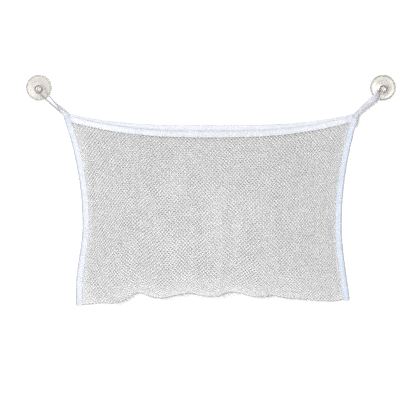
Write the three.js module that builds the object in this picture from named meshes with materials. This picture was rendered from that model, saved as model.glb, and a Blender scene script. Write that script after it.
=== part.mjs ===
// Bath toy organizer: a bag of white net, bound with folded tape, hung on a wall from two suction cups.
// Millimetres, +Z up. The wall is the plane y = 0, the origin lies on it midway between the two cups,
// and the bag hangs in front of the wall, toward -Y. It is shaped as it hangs when it is loaded.
import * as THREE from 'three';

const { clamp, lerp, smoothstep } = THREE.MathUtils;
const FRONT = -1; // toward the viewer, -Y
const BACK = 1; // toward the wall, +Y
const LEFT = -1;
const RIGHT = 1;

// Overall sizes of the hanging bag.
const cupSpan = 533; // between the centres of the two cups
const cornerSpan = 453; // across the top corners, over the bindings
const cornerDrop = 44; // from the cup centres down to the corner stitches
const bagHeight = 288; // from the corner stitches down to the bottom corners
const bellyDepth = 77; // how far the loaded front stands out from the side seams
const mouthDepth = 26; // how far the front hem stands out from the back hem
const wallGap = 1.5; // between the fullest part of the back and the wall
const clearance = 0.3; // between pieces that lie against each other

// Cloth.
const netThickness = 0.6;
const tapeThickness = 0.7;
const foldWidth = 10; // width of a tape folded over an edge
const loopWidth = 9; // width of the tape in the hanging loops
const tackRadius = 1.2; // bar tack that fastens a loop to a corner
const tackInset = 0.5; // from each end of a bar tack to the edges of the folded tape under it
const tackGap = 0.6; // room for a loop or a corner to turn past its bar tack
const patchLength = 14; // folded tape end over the top of a side binding
const patchInset = 1; // by how much that end is narrower than the binding
const seamLip = 0.5; // free net between a side binding and the swell of the bag
const hemTaper = 40; // length over which a side binding thickens to take the hems

// Outline.
const waistInset = 26; // how far the sides are drawn in at the waist
const waistHeight = 120; // of the waist above the bottom corners
const bottomInset = 16; // how far the sides are drawn in at the bottom corners
const backSag = 11; // of the back hem at the middle
const frontSag = 22; // of the front hem at the middle
const bottomRise = 12; // of the bottom edge at the middle
const foldDepth = 18; // of the bottom fold in front of the side seams
const scallopDepth = 3; // wave of the bottom edge
const scallopCount = 5.5; // waves across the bottom
const lumpDepth = 4; // wave of the belly above the scallops
const fullness = 2.4; // 2 gives a round belly across, more gives a boxier one
const hemFlatness = 2.5; // 2 gives hems that sag in a round, more keeps their middle flatter
const bellyPull = [1.36, 1.1]; // handles, low and high, that bring the front out to bellyDepth
const backPull = 1.55; // handle that brings the back to wallGap

// Turn of each hanging loop, as shares of the way from the corner to the cup: flat up to the first, on edge
// from the second.
const leftTurn = [0.05, 0.35];
const rightTurn = [0.5, 0.95];
const squaredEnd = 0.25; // share of the way over which the slanting end of a loop becomes square

// Suction cups.
const cupDiameter = 40;
const rimWidth = 3; // flat ring that seals on the wall
const rimHeight = 1.2;
const cavityDepth = 3.5;
const domeHeight = 9;
const neckDiameter = 8;
const headDiameter = 13;
const headHeight = 4.5;

// Facets.
const netColumns = 44; // the hems are cut at the same columns as the net that they hold
const frontRow = 14.4; // mean height of a row
const backRow = 24;
const rowCrowding = 1.5; // 1 spaces the rows evenly, more brings them closer together toward the top
const sideStep = 9;
const patchSteps = 6;
const loopSteps = 16; // along each leg of a loop, and round the neck
const cupSegments = 36;

// Places that follow from these sizes.
const neckLength = loopWidth + 5 * clearance;
const hangDepth = domeHeight + neckLength / 2; // the loops and the side seams lie this far from the wall
const cornerZ = -cornerDrop;
const topZ = cornerZ - tackRadius - tackGap; // top of the side bindings
const bottomZ = cornerZ - bagHeight;
const waistZ = bottomZ + waistHeight;
const edgeInset = tapeThickness + clearance; // from the outside of a fold to the net edge in it
const tuck = foldWidth + seamLip - edgeInset; // width of net that lies in a side binding
const hemHalf = netThickness / 2 + clearance + tapeThickness; // half the thickness of a hem
const hemReach = foldWidth - edgeInset; // height of net that lies in a hem
const tackLength = foldWidth - 2 * tackInset;
const frontRows = Math.round(bagHeight / frontRow);
const backRows = Math.round(bagHeight / backRow);
const sideSteps = Math.round(bagHeight / sideStep);

// Half the width of the bag over its bindings at a height.
function halfWidth(z) {
  const inset = z > waistZ ? 0 : bottomInset;
  const reach = z > waistZ ? topZ - waistZ : waistZ - bottomZ;
  return cornerSpan / 2 - lerp(waistInset, inset, ((z - waistZ) / reach) ** 2);
}

// Half the distance between the front and the back net in a side seam. At the top it makes room for the hems.
function seamSpread(z) {
  const below = (netThickness + clearance) / 2;
  const atHems = hemHalf + clearance / 2;
  return lerp(below, atHems, smoothstep(z, topZ - hemTaper, topZ - foldWidth));
}

function bezier([a, b, c, d], t) {
  const s = 1 - t;
  return a * s ** 3 + 3 * b * s * s * t + 3 * c * s * t * t + d * t ** 3;
}

const backReach = hangDepth - wallGap - netThickness / 2;
const panels = {
  front: {
    face: FRONT,
    depths: [foldDepth, bellyPull[0] * bellyDepth, bellyPull[1] * bellyDepth, mouthDepth],
    sag: frontSag,
    lump: lumpDepth,
  },
  back: {
    face: BACK,
    depths: [foldDepth, -backPull * backReach, -backPull * backReach, 0],
    sag: backSag,
    lump: 0,
  },
};

// A point of a net panel. Across, s runs from -1 to 1 between the side bindings and on to -2 and 2 inside
// them. Up, v runs from 0 at the bottom fold to 1 at the top edge. The lumps are fullest at a quarter of v.
function panelPoint(panel, s, v) {
  const u = clamp(s, -1, 1);
  const swell = 1 - Math.abs(u) ** fullness;
  const wave = Math.cos(Math.PI * scallopCount * u) * (1 - u * u);
  const low = bottomZ + bottomRise * (1 - u * u) - scallopDepth * wave;
  const high = topZ - edgeInset - panel.sag * (1 - Math.abs(u) ** hemFlatness);
  const z = lerp(low, high, bezier([0, lerp(1 / 3, 0, swell), lerp(2 / 3, 1 / 2, swell), 1], v));
  const lump = panel.lump * wave * 9 * v * (1 - v) ** 3;
  const depth = bezier(panel.depths, v) * swell + lump;
  const apart = lerp(seamSpread(z), clearance / 2, swell);
  const x = u * (halfWidth(z) - foldWidth - seamLip) + (s - u) * tuck;
  return new THREE.Vector3(x, -hangDepth - depth + panel.face * apart, z);
}

// Directions of a panel at a point: up along the net, and square to it.
function panelFrame(panel, s, v) {
  const step = 1e-3;
  const at = (ds, dv) => panelPoint(panel, clamp(s + ds, -2, 2), clamp(v + dv, 0, 1));
  const across = at(step, 0).sub(at(-step, 0));
  const up = at(0, step).sub(at(0, -step)).normalize();
  const normal = across.cross(up).normalize();
  return { up, normal };
}

// Geometry from points and triangles, turned to face out.
function solid(points, triangles) {
  const volume = triangles.reduce((sum, [a, b, c]) => {
    const normal = new THREE.Vector3().crossVectors(points[b], points[c]);
    return sum + points[a].dot(normal) / 6;
  }, 0);
  const facing = volume < 0 ? triangles.map(([a, b, c]) => [a, c, b]) : triangles;
  const geometry = new THREE.BufferGeometry().setFromPoints(points);
  geometry.setIndex(facing.flat());
  geometry.computeVertexNormals();
  return geometry;
}

// A solid through a row of rings that all come from one outline; the first and the last ring are capped.
function loft(outline, rings) {
  const count = outline.length;
  const points = rings.flat();
  const triangles = [];
  for (let i = 0; i + 1 < rings.length; i++) {
    for (let j = 0; j < count; j++) {
      const a = i * count + j;
      const b = i * count + ((j + 1) % count);
      triangles.push([a, b, b + count], [a, b + count, a + count]);
    }
  }
  const last = (rings.length - 1) * count;
  for (const [a, b, c] of THREE.ShapeUtils.triangulateShape(outline, [])) {
    triangles.push([a, c, b], [last + a, last + b, last + c]);
  }
  return solid(points, triangles);
}

const bottomFold = () => 0;
const topEdge = () => 1;
const freeColumns = Array.from({ length: netColumns + 1 }, (_, i) => lerp(-1, 1, i / netColumns));
const allColumns = [-2, ...freeColumns, 2];

// How far up a panel a line lies that runs at a distance below its top edge.
function belowTop(panel, s, distance) {
  const step = 1e-3;
  const rate = panelPoint(panel, s, 1).distanceTo(panelPoint(panel, s, 1 - step)) / step;
  return 1 - distance / rate;
}

// A piece of a panel as a shell of the net's thickness, between two lines that give v for each s.
// Its rows lie closer together toward the top.
function netPiece(panel, columns, rows, from, to) {
  const outer = [];
  const inner = [];
  for (const s of columns) {
    for (let j = 0; j <= rows; j++) {
      const v = lerp(from(s), to(s), 1 - (1 - j / rows) ** rowCrowding);
      const point = panelPoint(panel, s, v);
      const offset = panelFrame(panel, s, v).normal.multiplyScalar(netThickness / 2);
      outer.push(point.clone().add(offset));
      inner.push(point.clone().sub(offset));
    }
  }
  const size = outer.length;
  const stride = rows + 1;
  const triangles = [];
  const quad = (a, b, c, d) => triangles.push([a, b, c], [a, c, d]);
  for (let i = 0; i + 1 < columns.length; i++) {
    const a = i * stride;
    const b = a + stride;
    for (let j = 0; j < rows; j++) {
      quad(a + j, b + j, b + j + 1, a + j + 1);
      quad(size + a + j, size + a + j + 1, size + b + j + 1, size + b + j);
    }
    quad(a, size + a, size + b, b);
    quad(a + rows, b + rows, size + b + rows, size + a + rows);
  }
  const end = size - stride;
  for (let j = 0; j < rows; j++) {
    quad(j, j + 1, size + j + 1, size + j);
    quad(end + j, size + end + j, size + end + j + 1, end + j + 1);
  }
  return solid([...outer, ...inner], triangles);
}

// Outline of a tape folded over an edge: x runs out past the edge, y across the fold.
function foldOutline(width, grooveHalf) {
  const lip = edgeInset - width;
  const wall = grooveHalf + tapeThickness;
  const round = tapeThickness / 2;
  return [
    [lip, -wall], [edgeInset - round, -wall], [edgeInset, round - wall],
    [edgeInset, wall - round], [edgeInset - round, wall], [lip, wall],
    [lip, grooveHalf], [clearance, grooveHalf], [clearance, -grooveHalf], [lip, -grooveHalf],
  ].map(([x, y]) => new THREE.Vector2(x, y));
}

// A folded tape along stations, each with the edge point, the ways out and across, and half the groove.
function foldedTape(width, stations) {
  const rings = stations.map(({ edge, out, across, grooveHalf }) =>
    foldOutline(width, grooveHalf).map(({ x, y }) =>
      edge.clone().addScaledVector(out, x).addScaledVector(across, y)));
  return loft(foldOutline(width, stations[0].grooveHalf), rings);
}

function hem(panel) {
  const grooveHalf = netThickness / 2 + clearance;
  const stations = freeColumns.map((s) => {
    const { up, normal } = panelFrame(panel, s, 1);
    return { edge: panelPoint(panel, s, 1), out: up, across: normal, grooveHalf };
  });
  return foldedTape(foldWidth, stations);
}

// Stations down one side; around counts the tapes already folded over the seam there.
function sideStations(side, fromZ, toZ, steps, around) {
  const out = new THREE.Vector3(side, 0, 0);
  const across = new THREE.Vector3(0, 1, 0);
  const stations = [];
  for (let i = 0; i <= steps; i++) {
    const z = lerp(fromZ, toZ, i / steps);
    const edge = new THREE.Vector3(side * (halfWidth(z) + (around - 1) * edgeInset), -hangDepth, z);
    const grooveHalf = seamSpread(z) + netThickness / 2 + clearance + around * edgeInset;
    stations.push({ edge, out, across, grooveHalf });
  }
  return stations;
}

function sideBinding(side) {
  return foldedTape(foldWidth, sideStations(side, bottomZ, topZ, sideSteps, 0));
}

function cornerPatch(side) {
  return foldedTape(foldWidth - patchInset, sideStations(side, topZ - patchLength, topZ, patchSteps, 1));
}

function cornerPoint(side) {
  return new THREE.Vector3(side * (cornerSpan - foldWidth) / 2, -hangDepth, cornerZ);
}

function barTack(side) {
  const { x, y, z } = cornerPoint(side);
  const tack = new THREE.CylinderGeometry(tackRadius, tackRadius, tackLength, 16);
  return tack.rotateZ(Math.PI / 2).translate(x, y, z);
}

// A tape from a corner round the neck of its cup and back. The two legs lie flat on each other at the corner
// and turn on edge on the way, so that their width lies along the neck.
function hangingLoop(side, [turnFrom, turnTo]) {
  const depth = new THREE.Vector3(0, 1, 0);
  const cup = new THREE.Vector3(side * cupSpan / 2, -hangDepth, 0);
  const along = cup.clone().sub(cornerPoint(side));
  const reach = along.length();
  along.normalize();
  const aside = new THREE.Vector3().crossVectors(depth, along);
  const radius = neckDiameter / 2 + clearance + tapeThickness / 2;
  const stack = (tapeThickness + clearance) / 2;
  const touch = Math.acos(radius / reach);
  const start = new THREE.Vector2((tackRadius + tackGap) / along.z, 0);
  const end = new THREE.Vector2(reach - radius * Math.cos(touch), radius * Math.sin(touch));
  const stations = [];
  for (let i = 0; i <= loopSteps; i++) {
    const share = i / loopSteps;
    stations.push({
      centre: start.clone().lerp(end, share),
      heading: end.clone().sub(start).normalize(),
      turn: smoothstep(share, turnFrom, turnTo) * Math.PI / 2,
      slant: 1 - smoothstep(share, 0, squaredEnd),
    });
  }
  const back = stations.map(({ centre, heading, turn, slant }) => ({
    centre: new THREE.Vector2(centre.x, -centre.y),
    heading: new THREE.Vector2(-heading.x, heading.y),
    turn: Math.PI - turn,
    slant,
  })).reverse();
  for (let i = 1; i < loopSteps; i++) {
    const angle = lerp(touch, 2 * Math.PI - touch, i / loopSteps);
    stations.push({
      centre: new THREE.Vector2(reach - radius * Math.cos(angle), radius * Math.sin(angle)),
      heading: new THREE.Vector2(Math.sin(angle), Math.cos(angle)),
      turn: Math.PI / 2,
      slant: 0,
    });
  }
  stations.push(...back);

  const outline = [[-1, -1], [1, -1], [1, 1], [-1, 1]].map(([x, y]) =>
    new THREE.Vector2(x * loopWidth / 2, y * tapeThickness / 2));
  const rings = stations.map(({ centre, heading, turn, slant }) => {
    const sideways = aside.clone().multiplyScalar(heading.x).addScaledVector(along, -heading.y);
    const wide = sideways.clone().multiplyScalar(Math.cos(turn)).addScaledVector(depth, Math.sin(turn));
    const thick = sideways.clone().multiplyScalar(-Math.sin(turn)).addScaledVector(depth, Math.cos(turn));
    const middle = cornerPoint(side)
      .addScaledVector(along, centre.x)
      .addScaledVector(aside, centre.y)
      .addScaledVector(depth, -stack * Math.cos(turn));
    return outline.map(({ x, y }) => middle.clone()
      .addScaledVector(wide, x)
      .addScaledVector(thick, y)
      .addScaledVector(along, -slant * x * wide.z / along.z));
  });
  return loft(outline, rings);
}

function suctionCup(side) {
  const rim = cupDiameter / 2;
  const seat = rim - rimWidth;
  const neck = neckDiameter / 2;
  const head = headDiameter / 2;
  const headBase = domeHeight + neckLength;
  const top = headBase + headHeight;
  const profile = new THREE.Path();
  profile.moveTo(0, cavityDepth);
  profile.quadraticCurveTo(seat / 2, cavityDepth, seat, 0);
  profile.lineTo(rim, 0);
  profile.lineTo(rim, rimHeight);
  profile.bezierCurveTo(seat, rimHeight * 2, neck * 2, domeHeight * 0.8, neck, domeHeight);
  profile.lineTo(neck, headBase);
  profile.quadraticCurveTo(head, headBase, head, headBase + headHeight / 2);
  profile.quadraticCurveTo(head * 0.9, top, 0, top);
  const points = profile.getPoints(6).map(({ x, y }) => new THREE.Vector2(x, -y));
  const geometry = new THREE.LatheGeometry(points.reverse(), cupSegments);
  return geometry.translate(side * cupSpan / 2, 0, 0);
}

const group = new THREE.Group();
group.name = 'bath_toy_organizer';

function add(name, geometry, finish) {
  const mesh = new THREE.Mesh(geometry, new THREE.MeshStandardMaterial(finish));
  mesh.name = name;
  group.add(mesh);
}

const netFinish = { color: 0xe4e2e4, roughness: 0.8, metalness: 0 };
const tapeFinish = { color: 0xeef1f8, roughness: 0.75, metalness: 0 };
const cupFinish = { color: 0xdfdbd3, roughness: 0.12, metalness: 0, transparent: true, opacity: 0.5 };

// The net is one folded sheet. It is split at the bottom fold, and where the front hem takes its edge along
// when the mouth is opened.
const hemLine = (s) => belowTop(panels.front, s, hemReach);
const underHem = (s) => belowTop(panels.front, s, hemReach + clearance);
add('front_net', netPiece(panels.front, allColumns, frontRows, bottomFold, underHem), netFinish);
add('front_net_edge', netPiece(panels.front, freeColumns, 2, hemLine, topEdge), netFinish);
add('back_net', netPiece(panels.back, allColumns, backRows, bottomFold, topEdge), netFinish);
add('front_hem', hem(panels.front), tapeFinish);
add('back_hem', hem(panels.back), tapeFinish);
for (const [name, side, turn] of [['left', LEFT, leftTurn], ['right', RIGHT, rightTurn]]) {
  add(`${name}_side_binding`, sideBinding(side), tapeFinish);
  add(`${name}_corner_patch`, cornerPatch(side), tapeFinish);
  add(`${name}_bar_tack`, barTack(side), tapeFinish);
  add(`${name}_hanging_loop`, hangingLoop(side, turn), tapeFinish);
  add(`${name}_suction_cup`, suctionCup(side), cupFinish);
}

export default group;
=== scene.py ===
# The looks of the bath toy organizer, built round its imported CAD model.
# Sizes are in millimetres until a mesh is made. Meshes, lights and camera are in metres, in the CAD frame.
import math
from types import SimpleNamespace

import bpy
import numpy as np
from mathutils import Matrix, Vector


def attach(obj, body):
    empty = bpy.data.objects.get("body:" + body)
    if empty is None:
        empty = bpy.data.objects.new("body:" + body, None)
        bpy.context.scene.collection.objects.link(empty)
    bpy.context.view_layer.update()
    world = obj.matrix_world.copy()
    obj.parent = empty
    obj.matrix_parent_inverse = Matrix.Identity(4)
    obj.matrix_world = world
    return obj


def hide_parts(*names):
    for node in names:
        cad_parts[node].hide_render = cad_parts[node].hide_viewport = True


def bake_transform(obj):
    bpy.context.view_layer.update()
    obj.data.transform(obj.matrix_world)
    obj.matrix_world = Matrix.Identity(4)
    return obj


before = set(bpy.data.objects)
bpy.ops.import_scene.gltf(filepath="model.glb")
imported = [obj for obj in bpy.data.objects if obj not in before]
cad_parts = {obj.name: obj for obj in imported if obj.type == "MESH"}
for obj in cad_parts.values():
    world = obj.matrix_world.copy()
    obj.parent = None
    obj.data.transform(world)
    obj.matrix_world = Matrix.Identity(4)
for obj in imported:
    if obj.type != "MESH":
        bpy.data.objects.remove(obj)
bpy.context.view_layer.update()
MM = 0.001
LEFT, RIGHT = -1, 1
SIDES = {LEFT: "left", RIGHT: "right"}

# Sizes of the CAD model.
CUP_SPAN = 533.0
CORNER_SPAN = 453.0
CORNER_DROP = 44.0
BAG_HEIGHT = 288.0
BELLY_DEPTH = 77.0
MOUTH_DEPTH = 26.0
WALL_GAP = 1.5
CLEARANCE = 0.3
NET_THICKNESS = 0.6
TAPE_THICKNESS = 0.7
FOLD_WIDTH = 10.0
LOOP_WIDTH = 9.0
TACK_RADIUS = 1.2
TACK_LENGTH = 9.0
TACK_GAP = 0.6
PATCH_LENGTH = 14.0
SEAM_LIP = 0.5
HEM_TAPER = 40.0
WAIST_HEIGHT = 120.0
FOLD_DEPTH = 18.0
SCALLOP_COUNT = 5.5
LUMP_DEPTH = 4.0
FULLNESS = 2.4
BELLY_PULL = (1.36, 1.1)
BACK_PULL = 1.55
CUP_DIAMETER = 40.0
RIM_WIDTH = 3.0
RIM_HEIGHT = 1.2
CAVITY_DEPTH = 3.5
DOME_HEIGHT = 9.0
NECK_DIAMETER = 8.0
HEAD_DIAMETER = 13.0
HEAD_HEIGHT = 4.5

NECK_LENGTH = LOOP_WIDTH + 5 * CLEARANCE
HEAD_BASE = DOME_HEIGHT + NECK_LENGTH
CUP_HEIGHT = HEAD_BASE + HEAD_HEIGHT
HANG_DEPTH = DOME_HEIGHT + NECK_LENGTH / 2
CORNER_Z = -CORNER_DROP
TOP_Z = CORNER_Z - TACK_RADIUS - TACK_GAP
BOTTOM_Z = CORNER_Z - BAG_HEIGHT
WAIST_Z = BOTTOM_Z + WAIST_HEIGHT
EDGE_INSET = TAPE_THICKNESS + CLEARANCE
TUCK = FOLD_WIDTH + SEAM_LIP - EDGE_INSET
NET_GROOVE = NET_THICKNESS / 2 + CLEARANCE
BACK_REACH = HANG_DEPTH - WALL_GAP - NET_THICKNESS / 2

# The cloth hangs unevenly, as it does in the photograph, within several millimetres of the CAD model.
TOP_INSET = {LEFT: -1.2, RIGHT: -1.2}
WAIST_INSET = {LEFT: 28.0, RIGHT: 24.6}
BOTTOM_INSET = {LEFT: 17.4, RIGHT: 8.2}
FLARE_END = {LEFT: 0.85, RIGHT: 1.4}  # where a side would come to that inset, counted down from the waist
# The bottom edge: shares of the half width, and heights.
BOTTOM_EDGE = (
    (-1.0, -336.8), (-0.85, -333.0), (-0.76, -334.2), (-0.69, -332.0), (-0.645, -326.6), (-0.595, -319.4),
    (-0.55, -316.4), (-0.505, -320.0), (-0.455, -324.2), (-0.365, -325.4), (-0.27, -320.4), (-0.155, -317.0),
    (-0.085, -320.4), (0.007, -322.6), (0.055, -322.2), (0.1, -318.2), (0.17, -315.0), (0.24, -318.0),
    (0.335, -323.6), (0.425, -323.2), (0.47, -320.6), (0.565, -325.4), (0.66, -327.2), (0.845, -330.4),
    (0.945, -330.8), (1.0, -328.2),
)
EDGE_STEPS = 801  # of the table that the bottom edge is read from
EDGE_ROUNDING = 31  # steps over which its bends are rounded

# The two walls of the bag: which way they face, their depths from the bottom up, the heights of their top
# corners, the sag of their top edges and how flat it is in the middle, and the depth of their lumps.
FRONT = SimpleNamespace(
    face=-1,
    depths=(FOLD_DEPTH, BELLY_PULL[0] * BELLY_DEPTH, BELLY_PULL[1] * BELLY_DEPTH, MOUTH_DEPTH),
    corner=-45.0,
    sag=24.0,
    flatness=2.7,
    lump=LUMP_DEPTH,
)
BACK = SimpleNamespace(
    face=1,
    depths=(FOLD_DEPTH, -BACK_PULL * BACK_REACH, -BACK_PULL * BACK_REACH, 0.0),
    corner=-41.8,
    sag=17.6,
    flatness=3.3,
    lump=0.0,
)

# Net.
CELL_PITCH = 5.4  # of the openings, across
ROW_PITCH = 3.05  # of the rows of openings, each set off by half a cell
HOLE_SHARE = 0.68  # size of an opening as a share of its cell
DRAWN_SHARE = 0.12  # by which the openings next to a tape are drawn wider
SIDE_DRAW = 0.7  # share of that next to a side binding
DRAWN_REACH = SimpleNamespace(hem=3.0, side=4.0)
PINCHED_SHARE = 0.22  # size of the openings that the bottom fold pinches
FOLD_ROWS = 1  # rows of pinched openings on each side of the bottom fold
PILLAR_SHARE = 0.215  # half the length of the upright strands as a share of the row pitch
JOINT_LOOSENESS = 0.05  # share of a cell by which joints are out of line
STRAND_THICKNESS = 0.55
TUCKED_CELLS = 1  # columns of openings hidden in each side binding
TABLE_STEPS = (241, 161)  # of the tables of even places, across and up
MEASURE_STEPS = 400
WIDTH_AT = 0.55  # share of the height at which the net's width is measured
# Ripples: their height, the length of their waves, their seed, and how far those at a tape reach from it.
TOP_RIPPLES = SimpleNamespace(height=0.8, length=15.0, seed=0.7, reach=16.0)
SIDE_RIPPLES = SimpleNamespace(height=0.7, length=17.0, seed=1.9, reach=15.0)
WIDE_RIPPLES = SimpleNamespace(height=0.9, length=74.0, seed=2.6, slant=0.35)
TALL_RIPPLES = SimpleNamespace(height=0.7, length=58.0, seed=0.4, slant=-0.25)
FLAT_AT_TAPE = 7.0  # distance from a tape within which ripples fade
FLAT_AT_FOLD = 25.0  # the same from the bottom fold
BACK_RIPPLES = 0.6  # height of the back's ripples as a share of the front's

# Tapes.
FLANK_SHARES = (0.0, 0.08, 0.16, 0.24, 0.34, 0.5, 0.75)  # places from the lip to the fold
FOLD_STEPS = 11
TAPE_TIP = 0.4 * TAPE_THICKNESS  # by which the rounded edge of a tape stands out
TIP_MAP = 0.5  # map distance across such an edge
LIP_WAVES = ((0.22, 23.0, 1.3), (0.1, 7.0, 0.0))  # heights, lengths and seeds
LIP_REACH = 2.5  # of those waves into the tape
STATIONS_PER_STITCH = 5
HEM_REACH = 1.45  # of a hem, in which 1 is the edge of the side binding
HEM_STEPS = 2400
UNDER_HEM = 0.995  # share of the height, just under the top edge
HEM_SMOOTHING = 5
PRESSED = 0.56  # thickness of a hem in the binding as a share of that outside
PRESSED_SHIFT = 0.5  # by which it is pressed toward the other hem
PRESSED_FROM = (-0.5, 9.0)  # distances from the binding between which it is pressed
BINDING_TOP = TOP_Z + 1.0
BINDING_OVERHANG = 1.2  # of a side binding below the net
ROUNDED_END = 5.0  # how far the lower end of a side binding is rounded
ROUNDED_INWARD = 0.8  # share of that by which it turns inward
ROUNDED_SQUEEZE = 0.4
ROUNDED_STEPS = 14
PATCH_STEPS = 72
PATCH_REACH = 5.5  # of a corner patch past its bar tack
PATCH_WIDTHS = (FOLD_WIDTH - 0.2, 6.8)
PATCH_NARROWS = (0.35, 0.95)  # shares of its length between which a patch narrows
PATCH_OUTSET = 1.0  # of a patch past its binding
PATCH_BEND_DROP = 3.0  # of the bend in a patch below its corner
PATCH_PINCH = (0.45, 0.82)  # shares of its length between which a patch is pinched
PINCHED_GROOVE = 0.95

# Sewing.
STITCH_PITCH = 3.2
STITCH_LENGTH = 2.5
STITCH_RADIUS = 0.24
STITCH_STEPS = 7
STITCH_INSET = 1.9  # of a row of stitches from the lip of its tape
STITCH_BED = 0.1  # by which a row of stitches is set into its tape
STITCH_RISE = 0.2  # of the middle of a stitch over the row
STITCH_DIP = 0.55  # of its ends below its middle
STITCH_SLIP = 0.12  # by which stitches are out of place
HEM_TRIM = 26  # stations at each end of a hem that have no stitches
PULL_REACH = 1.0  # of the dent in which a row of stitches lies
PULL_DEPTHS = (0.06, 0.16)  # of that dent all along, and more of it at each needle hole
# The tape puffs up beside the stitches.
PUFF = SimpleNamespace(inset=3.2, reach=2.2, height=0.1, uneven=0.06, length=19.0, seed=2)
TACK_TURNS = 19
TACK_STEPS = 16  # in a turn
TACK_CORE = 1.75
TACK_THREAD = 0.26
TACK_UNEVEN = (0.05, 0.9)  # share of the core, and length of the waves
TACK_SWAY = 0.12

# Hanging loops. The ways of the two legs of each loop: share of the way from the corner to the cup,
# millimetres off the middle line, share of the tape's width where it is gathered, and degrees by which the
# tape is turned on edge. The first leg lies above the middle line on the left and below it on the right, and
# the second leg on the other side. Both end where the tape meets the neck of the cup.
AT_NECK = (1.0, 4.64, 1.0, 90)
LOOP_LEGS = {
    LEFT: (
        ((0.0, 0.0, 0.6, 0), (0.12, 0.6, 0.6, 0), (0.25, 1.1, 0.75, 40), (0.4, 1.7, 0.95, 80),
         (0.64, 2.9, 1.0, 80), (0.86, 3.9, 1.0, 80), AT_NECK),
        ((0.0, 0.0, 0.6, 0), (0.05, 0.8, 0.6, 10), (0.17, 2.3, 0.7, 72), (0.3, 2.8, 0.9, 80),
         (0.54, 3.6, 1.0, 80), (0.88, 5.0, 1.0, 80), AT_NECK),
    ),
    RIGHT: (
        ((0.0, 0.0, 0.7, 0), (0.05, 1.2, 0.7, 15), (0.135, 3.1, 0.7, 75), (0.345, 4.8, 0.9, 80),
         (0.45, 5.5, 1.0, 80), (0.6, 6.7, 1.0, 80), (0.7, 7.2, 1.0, 80), (0.86, 6.6, 1.0, 82),
         AT_NECK),
        ((0.0, 0.0, 0.7, 0), (0.2, 0.0, 0.7, 0), (0.4, -0.4, 0.78, 4), (0.58, -0.9, 1.0, 8),
         (0.7, -0.9, 1.0, 14), (0.84, 0.6, 1.0, 45), AT_NECK),
    ),
}
LEG_STEPS = 80
LEG_SMOOTHING = (4, 3)
HEADING_SMOOTHING = 2
ARC_STEPS = 56
LOOP_COLUMNS = 13  # points across a loop's tape
LOOP_TAIL = 1.0  # of a leg behind its corner
LOOP_SLANT = 0.25  # share of the way over which a leg's slanted end straightens
LOOP_HOLLOW = 1.3  # depth of the trough that a gathered tape forms
HOLLOW_FROM = (0.05, 0.14)  # shares of the way between which the trough forms
HOLLOW_MIDDLE = 0.4
LOOP_CURL = 1.1  # rise of a tape's curled edge
CURL_START = 0.55  # share of the half width at which the curl starts
CURL_FROM, CURL_TO = (0.1, 0.3), (0.75, 0.95)  # shares of the way between which the curl comes and goes
LOOP_WAVES = (0.12, 14.0)  # height and length
THIN_EDGE = 0.82  # thickness of a loop's edges as a share of its middle's
LOOP_TIP = 0.25
LOOP_TIP_MAP = 0.4

# Suction cups.
CUP_LEAN = (-0.8, -3.5)  # how far a loaded cup's head leans outward and up
LEAN_START = 2.0  # distance from the wall at which the lean starts
LEAN_BEND = 0.85
CUP_SEGMENTS = 128
CURVE_STEPS = 15  # along each curve of its profile

# Colours, from dark to light.
# Painted shade on the net along its bottom edge, where it turns under.
NET_PAINTED_SHADE = (0.36, 0.355, 0.345)
NET_COLOURS = ((0.69, 0.685, 0.69), (0.8, 0.79, 0.785))
HEM_COLOURS = ((0.56, 0.575, 0.62), (0.65, 0.665, 0.71))
# Painted shade along the fold of the side bindings, where the tape turns away from the lamp.
SIDE_PAINTED_SHADE = (0.3, 0.31, 0.33)
# The right binding is the same tape painted darker, as shade, since the lamp is on the left.
SIDE_COLOURS_RIGHT_SHADED = {
    LEFT: ((0.48, 0.505, 0.555), (0.57, 0.59, 0.64)),
    RIGHT: ((0.43, 0.475, 0.55), (0.51, 0.555, 0.635)),
}
# The corner patches are the binding tape painted darker, as shade.
CORNER_COLOURS_SHADED = ((0.44, 0.46, 0.525), (0.52, 0.54, 0.605))
LOOP_COLOURS = ((0.46, 0.455, 0.5), (0.55, 0.545, 0.59))
THREAD_COLOURS = ((0.6, 0.61, 0.64), (0.7, 0.705, 0.73))
# The right cup is the same plastic painted darker, as shade against the lamp's reflection on it.
CUP_TINT_RIGHT_SHADED = {LEFT: (0.895, 0.862, 0.812), RIGHT: (0.725, 0.695, 0.655)}
# Painted shade for the rim and head, and a painted highlight for the clear band inside the rim.
CUP_RIM_SHADE = (0.4, 0.385, 0.345)
CUP_GROOVE_HIGHLIGHT = (1.0, 1.0, 0.99)
CUP_HEAD_SHADE = (0.42, 0.4, 0.36)
CUP_SHADOW = (0.96, 0.955, 0.945, 1.0)
WALL_COLOUR = (0.82, 0.82, 0.82, 1.0)
FLOOR_COLOUR = (0.82, 0.82, 0.815, 1.0)
FLOOR_SPECKLES = ((0.84, 0.84, 0.83), (0.88, 0.88, 0.875))
WHITE = (1.0, 1.0, 1.0, 1.0)

# Weave, and painted shade along folds and edges.
RIB_PITCH = 0.75
THREAD_PITCH = 0.42
TWIST_PITCH = (0.5, 0.7)  # of sewing thread, along and round it
FOLD_SHADE_WIDTH = 4.0  # of the painted shade on each side of a tape's fold
EDGE_SHADE_HEIGHT = 2.8  # of the painted shade on the net above the bottom edge

# Studio, in metres.
WALL_Y = 0.0005
WALL_HALF = 0.75
FLOOR_Z = -0.9
FLOOR_HALF = 9.0
SEEN_FLOOR_RISE = 0.002
MIDDLE = (0.0, -0.04, -0.17)
LIGHT_SIZE = 1.5
KEY_PLACE, KEY_POWER = (-0.6, -3.75, 0.1), 153.0
BACK_PLACE, BACK_POWER = (0.5, 3.7, 0.4), 55.0
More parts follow.
